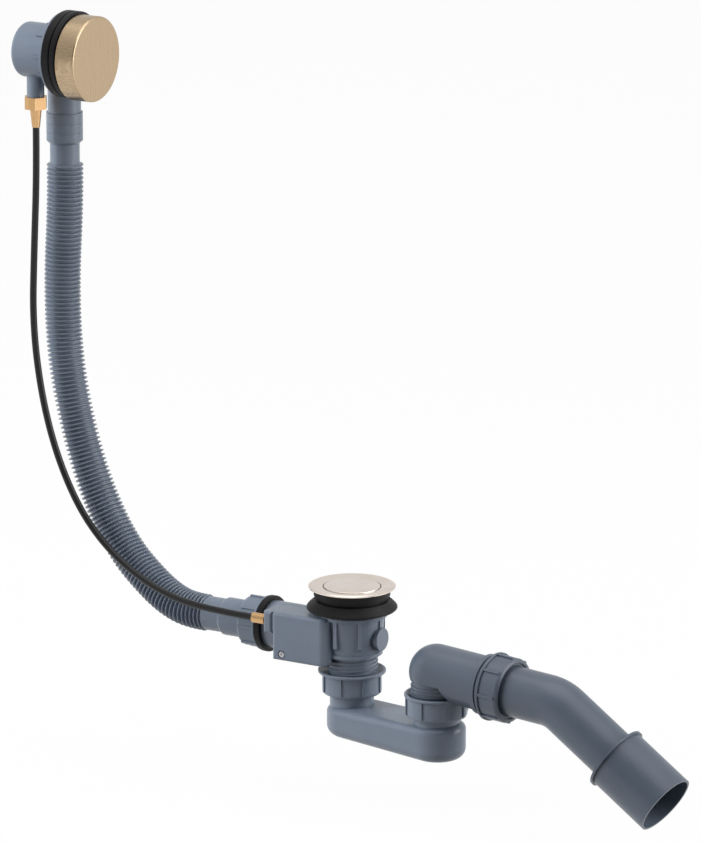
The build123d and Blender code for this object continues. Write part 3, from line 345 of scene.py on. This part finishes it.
def give_out(group, tone, texture):
    """Let a tone choose the colour of an effect, and a texture its roughness and height."""
    given = group.nodes.new("NodeGroupInput").outputs
    result = group.nodes.new("NodeGroupOutput").inputs
    mix = group.nodes.new("ShaderNodeMix")
    mix.data_type = "RGBA"
    group.links.new(spread(group, tone, 0.0, 1.0), mix.inputs["Factor"])
    group.links.new(given["Pale"], mix.inputs[MIX_FIRST])
    group.links.new(given["Deep"], mix.inputs[MIX_SECOND])
    group.links.new(mix.outputs[MIX_RESULT], result["Colour"])
    group.links.new(spread(group, texture, given["Smooth"], given["Rough"]), result["Roughness"])
    group.links.new(texture, result["Height"])
    print("group", group.name)


# %% [markdown]
# ### Moulded grain
# The flow of the melt leaves a faint cloud in moulded plastic, and the blasted face of the tool leaves a fine
# grain. One noise would have to be either, so two are used: a coarse one for the tone and a fine one for the
# surface.

# %% Node group for moulded grain
CLOUD_SCALE = 26.0
GRAIN_SCALE = 900.0

moulded, place = effect_group("moulded_grain")
cloud = noise(moulded, place, CLOUD_SCALE, detail=4.0)
grain = noise(moulded, place, GRAIN_SCALE, detail=2.0)
give_out(moulded, cloud, grain)

# %% [markdown]
# ### Brushed lines
# A belt leaves long fine lines on the knob and on the small metal pieces. A wave texture would repeat itself,
# so a noise is squeezed across the lines and stretched along them, up and down.

# %% Node group for brushed lines
LINE_STRETCH = (260, 2600, 24)

brushed, place = effect_group("brushed_lines")
stretch = brushed.nodes.new("ShaderNodeMapping")
stretch.inputs["Scale"].default_value = LINE_STRETCH
brushed.links.new(place, stretch.inputs["Vector"])
lines = noise(brushed, stretch.outputs["Vector"], scale=1.0, detail=4.0)
give_out(brushed, lines, lines)

# %% [markdown]
# ### Turned lines
# The drain flange and its plug come off a lathe, so their lines are rings round the drain's axis, which is
# the Z axis here. A ring texture would be too even, so a noise is read by the distance from that axis and by
# the height alone, and it is then the same all the way round.

# %% Node group for turned lines round the drain axis
RING_SCALE = 2400.0
SATIN_CLOUD_SCALE = 60.0

turned, place = effect_group("turned_lines")
split = turned.nodes.new("ShaderNodeSeparateXYZ")
turned.links.new(place, split.inputs[0])
flat = turned.nodes.new("ShaderNodeCombineXYZ")
turned.links.new(split.outputs["X"], flat.inputs["X"])
turned.links.new(split.outputs["Y"], flat.inputs["Y"])
reach = turned.nodes.new("ShaderNodeVectorMath")
reach.operation = "LENGTH"
turned.links.new(flat.outputs[0], reach.inputs[0])
rings = turned.nodes.new("ShaderNodeCombineXYZ")
turned.links.new(reach.outputs["Value"], rings.inputs["X"])
turned.links.new(split.outputs["Z"], rings.inputs["Z"])
lines = noise(turned, rings.outputs[0], RING_SCALE, detail=3.0)
cloud = noise(turned, place, SATIN_CLOUD_SCALE, detail=3.0)
give_out(turned, cloud, lines)

# %% [markdown]
# ## Finishes
# Every finish is a Principled shader fed by one of the three effects. The plastic has a soft sheen, the
# rubber is nearly matt, and the metals differ in colour, in the run of their lines and in how sharply they
# mirror the room. The outlet pieces look darker in the picture than the rest of the plastic, so they have
# a deeper tone of it. Each finish could be built by hand, but one function keeps them alike.

# %% Function that makes a finish
RELIEF_DEPTH = 0.4 * MM


def finish(name, effect, colours, smooth, rough, bump, metallic=0.0, specular=0.5):
    """A Principled material whose colour, roughness and bump come from one shared effect."""
    material = bpy.data.materials.new(name)
    material.use_nodes = True
    tree = material.node_tree
    shader = tree.nodes["Principled BSDF"]
    shader.inputs["Metallic"].default_value = metallic
    shader.inputs["Specular IOR Level"].default_value = specular
    group = tree.nodes.new("ShaderNodeGroup")
    group.node_tree = effect
    for socket, colour in zip(("Pale", "Deep"), colours):
        group.inputs[socket].default_value = (*colour, 1)
    group.inputs["Smooth"].default_value = smooth
    group.inputs["Rough"].default_value = rough
    relief = tree.nodes.new("ShaderNodeBump")
    relief.inputs["Strength"].default_value = bump
    relief.inputs["Distance"].default_value = RELIEF_DEPTH
    tree.links.new(group.outputs["Colour"], shader.inputs["Base Color"])
    tree.links.new(group.outputs["Roughness"], shader.inputs["Roughness"])
    tree.links.new(group.outputs["Height"], relief.inputs["Height"])
    tree.links.new(relief.outputs["Normal"], shader.inputs["Normal"])
    return material


# %% Plastic, rubber and metal
PLASTIC = ((0.186, 0.224, 0.284), (0.160, 0.195, 0.252))
DARK_PLASTIC = ((0.100, 0.124, 0.164), (0.086, 0.108, 0.144))
RUBBER = ((0.006, 0.006, 0.007), (0.004, 0.004, 0.004))
SHEATH = ((0.009, 0.009, 0.010), (0.006, 0.006, 0.007))
BRASS = ((0.74, 0.47, 0.24), (0.58, 0.35, 0.16))
STEEL = ((0.62, 0.62, 0.63), (0.50, 0.50, 0.52))
BRUSHED_CHAMPAGNE = ((0.54, 0.405, 0.262), (0.42, 0.310, 0.195))
SATIN_CHAMPAGNE = ((0.84, 0.76, 0.70), (0.78, 0.69, 0.61))

grey_plastic = finish("grey_moulded_plastic", moulded, PLASTIC, smooth=0.26, rough=0.38, bump=0.10)
dark_plastic = finish("dark_pipe_plastic", moulded, DARK_PLASTIC, smooth=0.28, rough=0.40, bump=0.10)
hose_plastic = finish("grey_hose_plastic", moulded, PLASTIC, smooth=0.26, rough=0.36, bump=0.06)
black_rubber = finish(
    "black_rubber", moulded, RUBBER, smooth=0.42, rough=0.58, bump=0.12, specular=0.22)
black_sheath = finish(
    "black_sheath", moulded, SHEATH, smooth=0.32, rough=0.42, bump=0.04, specular=0.35)
turned_brass = finish(
    "turned_brass", brushed, BRASS, smooth=0.24, rough=0.38, bump=0.05, metallic=1.0)
bright_steel = finish(
    "bright_steel", brushed, STEEL, smooth=0.26, rough=0.40, bump=0.05, metallic=1.0)
brushed_champagne = finish(
    "brushed_champagne", brushed, BRUSHED_CHAMPAGNE, smooth=0.22, rough=0.36, bump=0.05, metallic=1.0)
satin_champagne = finish(
    "satin_champagne", turned, SATIN_CHAMPAGNE, smooth=0.22, rough=0.34, bump=0.02, metallic=1.0)

# %% Finishes on the solids
OUTLET_PIECES = ("outlet_elbow", "outlet_nut", "outlet_pipe", "adapter_sleeve")

finishes = {
    "grey_plastic": grey_plastic,
    "black_rubber": black_rubber,
    "black_sheath": black_sheath,
    "brass": turned_brass,
    "steel": bright_steel,
    "brushed_champagne": brushed_champagne,
    "polished_champagne": satin_champagne,
}
for part in frame["record"]["subparts"]:
    mesh = nodes[part["node"]].data
    mesh.materials.clear()
    mesh.materials.append(finishes[part["material_slot"]])
for node in OUTLET_PIECES:
    nodes[node].data.materials[0] = dark_plastic
print("finishes:", sorted(finishes))

# %% [markdown]
# ## The control cable
# The black sheath hangs in one long smooth curve from the brass gland to the brass ferrule. A mesh tube could
# be swept along it, but a curve object stays round and easy to change. A NURBS spline with the route's points
# as control points gives the line, and a round bevel makes it a sheath.

# %% Route of the cable and its curve
CABLE_ROUTE = [
    (-291.2, -5.1, 350.3),
    (-291.2, -5.1, 312.0),
    (-294.0, -5.5, 252.0),
    (-296.3, -5.8, 188.0),
    (-287.5, -6.6, 127.0),
    (-270.0, -8.5, 75.5),
    (-243.0, -11.5, 32.0),
    (-204.0, -16.0, 1.5),
    (-158.0, -22.5, -15.5),
    (-112.0, -27.0, -19.3),
    (-75.0, -27.0, -19.3),
]
CABLE_DIAMETER = 5.6 * MM
SPLINE_STEPS = 24
BEVEL_STEPS = 6


def route_curve(name, route):
    """A smooth open curve with the route's points, given in millimetres, as control points."""
    data = bpy.data.curves.new(name, "CURVE")
    data.dimensions = "3D"
    spline = data.splines.new("NURBS")
    spline.points.add(len(route) - 1)
    for point, place in zip(spline.points, route):
        point.co = (*(Vector(place) * MM), 1)
    spline.order_u = 3
    spline.use_endpoint_u = True
    spline.resolution_u = SPLINE_STEPS
    curve = bpy.data.objects.new(name, data)
    bpy.context.scene.collection.objects.link(curve)
    return curve


def line_of(curve):
    """The points along a curve with no bevel, and their length added up."""
    bpy.context.view_layer.update()
    shape = curve.evaluated_get(bpy.context.evaluated_depsgraph_get())
    mesh = bpy.data.meshes.new_from_object(shape)
    points = [vertex.co.copy() for vertex in mesh.vertices]
    bpy.data.meshes.remove(mesh)
    return points, sum((b - a).length for a, b in zip(points, points[1:]))


cable = route_curve("control_cable", CABLE_ROUTE)
cable_points, cable_length = line_of(cable)
cable.data.bevel_depth = CABLE_DIAMETER / 2
cable.data.bevel_resolution = BEVEL_STEPS
cable.data.use_fill_caps = True
settle(cable, "waste_set", "black_sheath", black_sheath, "cable_sheath")
print("cable length", round(cable_length, 4))

# %% [markdown]
# ## The corrugated hose
# The hose is blown into a tool with many narrow rings, so that it bends without kinking. The rings could be a
# bump in the material, but they show along the hose's outline, so they are real shape. One ring is modelled
# as a short tube, repeated by an Array modifier and bent along the route by a Curve modifier.

# %% Route of the hose
HOSE_ROUTE = [
    (-283.2, 24.2, 317.0),
    (-283.2, 24.2, 284.0),
    (-288.0, 25.0, 220.0),
    (-285.5, 24.2, 159.0),
    (-272.0, 21.0, 103.0),
    (-250.5, 15.5, 52.0),
    (-221.0, 9.5, 8.5),
    (-188.0, 4.5, -16.5),
    (-167.5, 1.5, -26.8),
    (-150.0, 0.0, -31.0),
    (-134.0, 0.0, -31.0),
]
hose_line = route_curve("hose_line", HOSE_ROUTE)
hose_points, hose_length = line_of(hose_line)
print("hose length", round(hose_length, 4))

# %% One ring of the hose
HOSE_CREST = 14.8 * MM
HOSE_ROOT = 12.2 * MM
HOSE_RINGS = 116
RING_SIDES = 40
# Shares of the pitch along the ring, and of the way from the root to the crest
RING_SHAPE = [
    (0.16, 0.0),
    (0.30, 0.62),
    (0.38, 0.93),
    (0.50, 1.0),
    (0.62, 0.93),
    (0.70, 0.62),
    (0.84, 0.0),
    (1.0, 0.0),
]


def one_ring(pitch):
    """A short open tube along Z: a flat root, a steep side, a rounded crest and the other side."""
    start_clean()
    bpy.ops.mesh.primitive_circle_add(vertices=RING_SIDES, radius=HOSE_ROOT, location=(0, 0, 0))
    ring = bpy.context.object
    bpy.ops.object.mode_set(mode="EDIT")
    level, radius = 0.0, HOSE_ROOT
    for along, rise in RING_SHAPE:
        wanted = HOSE_ROOT + rise * (HOSE_CREST - HOSE_ROOT)
        bpy.ops.mesh.extrude_region_move(TRANSFORM_OT_translate={"value": (0, 0, along * pitch - level)})
        bpy.ops.transform.resize(value=(wanted / radius, wanted / radius, 1))
        level, radius = along * pitch, wanted
    bpy.ops.object.mode_set(mode="OBJECT")
    return ring


ring_pitch = hose_length / HOSE_RINGS
hose = one_ring(ring_pitch)
hose.name = "ringed_hose"
print("ring pitch", round(ring_pitch, 5))

# %% The ring repeated and bent
RING_MERGE_DISTANCE = 1e-5

repeat = hose.modifiers.new("rings", "ARRAY")
repeat.count = HOSE_RINGS
repeat.use_relative_offset = False
repeat.use_constant_offset = True
repeat.constant_offset_displace = (0, 0, ring_pitch)
repeat.use_merge_vertices = True
repeat.merge_threshold = RING_MERGE_DISTANCE
follow = hose.modifiers.new("route", "CURVE")
follow.object = hose_line
follow.deform_axis = "POS_Z"
apply_all_modifiers(hose)
bpy.data.objects.remove(hose_line)
close_and_smooth(hose, angle=60)
settle(hose, "waste_set", "grey_plastic", hose_plastic, "overflow_hose")

# %% [markdown]
# ## Threads
# The union nuts screw onto coarse moulded threads, which show between each nut and the body above it. Stacked
# rings would pass from far away, but a thread climbs as it goes round. So one trapezium is wound round an
# axis by a Screw modifier, and each thread is wound upright and then set in its place.

# %% Function that winds a thread
THREAD_STEPS = 48
THREAD_PITCH = 3.2 * MM
RIDGE_SHARE = 0.8  # of the pitch, at the root of the ridge
CREST_SHARE = 0.4  # of the ridge's width at its root
END_SIDES = 4


def wound_thread(name, root, crest, turns):
    """A helical ridge about Z that starts at height 0, wide at the root and narrow at the crest."""
    start_clean()
    depth = crest - root
    bpy.ops.mesh.primitive_plane_add(size=1, rotation=(radians(90), 0, 0))
    ridge = bpy.context.object
    ridge.name = name
    bpy.ops.object.transform_apply()
    for vertex in ridge.data.vertices:
        vertex.select = vertex.co.x > 0
    bpy.ops.object.mode_set(mode="EDIT")
    bpy.ops.mesh.select_mode(type="VERT")
    bpy.ops.transform.resize(value=(1, 1, CREST_SHARE))
    bpy.ops.mesh.select_all(action="SELECT")
    bpy.ops.transform.resize(value=(depth, 1, RIDGE_SHARE * THREAD_PITCH))
    bpy.ops.transform.translate(value=(root + depth / 2, 0, 0))
    bpy.ops.object.mode_set(mode="OBJECT")
    wind = ridge.modifiers.new("wind", "SCREW")
    wind.screw_offset = THREAD_PITCH
    wind.iterations = turns
    wind.steps = THREAD_STEPS
    wind.render_steps = THREAD_STEPS
    apply_all_modifiers(ridge)
    bpy.ops.object.mode_set(mode="EDIT")
    bpy.ops.mesh.select_all(action="SELECT")
    bpy.ops.mesh.fill_holes(sides=END_SIDES)
    bpy.ops.object.mode_set(mode="OBJECT")
    return ridge


def stand(piece, place, direction=(0, 0, 1)):
    """Turn a piece from Z to a direction, move it to a place in millimetres, and keep that in its mesh."""
    pick(piece)
    piece.rotation_mode = "QUATERNION"
    piece.rotation_quaternion = Vector(direction).to_track_quat("Z", "X")
    piece.location = Vector(place) * MM
    bpy.ops.object.transform_apply()


# %% Threads of the waste spigot and the elbow leg
SPIGOT_THREAD_PLACE = (0, 0, -58.2)
LEG_THREAD_PLACE = (89.837, -20.740, -58.0)

spigot_thread = wound_thread("spigot_thread", root=19.6 * MM, crest=20.7 * MM, turns=4)
stand(spigot_thread, SPIGOT_THREAD_PLACE)
leg_thread = wound_thread("leg_thread", root=19.5 * MM, crest=20.6 * MM, turns=3)
stand(leg_thread, LEG_THREAD_PLACE)
for thread, body, material in (
    (spigot_thread, "waste_set", grey_plastic),
    (leg_thread, "elbow", dark_plastic),
):
    close_and_smooth(thread, angle=30)
    settle(thread, body, "grey_plastic", material)

# %% [markdown]
# ## The screw of the lever housing
# A small cross-recess screw holds the housing, with its pan head in a round recess. The cross could be drawn
# in the material, but a real recess catches its own shadow. So the screw is extruded from a disc, from the
# tip of its shank to the crown of its head, and two crossed bars are cut out of the head.

# %% Shank and head of the screw
SCREW_PLACE = (-46.0, -30.8, -44.5)
SCREW_DIRECTION = (0, -1, 0)
SCREW_SIDES = 32
HEAD_RADIUS, HEAD_HEIGHT = 2.6 * MM, 1.4 * MM
SHANK_RADIUS, SHANK_LENGTH = 1.5 * MM, 16.8 * MM
SHOULDER_SHARE, CROWN_SHARE = 0.92, 0.62
# How far each step goes up, and how much wider it gets
SCREW_STEPS = [
    (SHANK_LENGTH, 1.0),
    (0, HEAD_RADIUS / SHANK_RADIUS),
    (HEAD_HEIGHT / 2, 1.0),
    (HEAD_HEIGHT / 4, SHOULDER_SHARE),
    (HEAD_HEIGHT / 4, CROWN_SHARE),
]

start_clean()
bpy.ops.mesh.primitive_circle_add(
    vertices=SCREW_SIDES, radius=SHANK_RADIUS, fill_type="NGON", location=(0, 0, -SHANK_LENGTH))
screw = bpy.context.object
screw.name = "cross_screw"
bpy.ops.object.transform_apply()
bpy.ops.object.mode_set(mode="EDIT")
bpy.ops.mesh.select_all(action="SELECT")
for rise, widen in SCREW_STEPS:
    bpy.ops.mesh.extrude_region_move(TRANSFORM_OT_translate={"value": (0, 0, rise)})
    bpy.ops.transform.resize(value=(widen, widen, 1))
bpy.ops.object.mode_set(mode="OBJECT")
print("screw faces", len(screw.data.polygons))

# %% Cross recess
CROSS_LENGTH, CROSS_WIDTH, CROSS_DEPTH = 3.0 * MM, 0.7 * MM, 0.8 * MM

bars = []
for along_x, along_y in ((CROSS_LENGTH, CROSS_WIDTH), (CROSS_WIDTH, CROSS_LENGTH)):
    start_clean()
    bpy.ops.mesh.primitive_cube_add(size=1, location=(0, 0, HEAD_HEIGHT))
    bar = bpy.context.object
    bar.scale = (along_x, along_y, 2 * CROSS_DEPTH)
    bpy.ops.object.transform_apply()
    cut = screw.modifiers.new("cross", "BOOLEAN")
    cut.operation = "DIFFERENCE"
    cut.solver = "EXACT"
    cut.object = bar
    bars.append(bar)
close_and_smooth(screw, angle=30)
apply_all_modifiers(screw)
for bar in bars:
    bpy.data.objects.remove(bar)
stand(screw, SCREW_PLACE, SCREW_DIRECTION)
close_and_smooth(screw, angle=30)
settle(screw, "waste_set", "steel", bright_steel, "housing_screw")
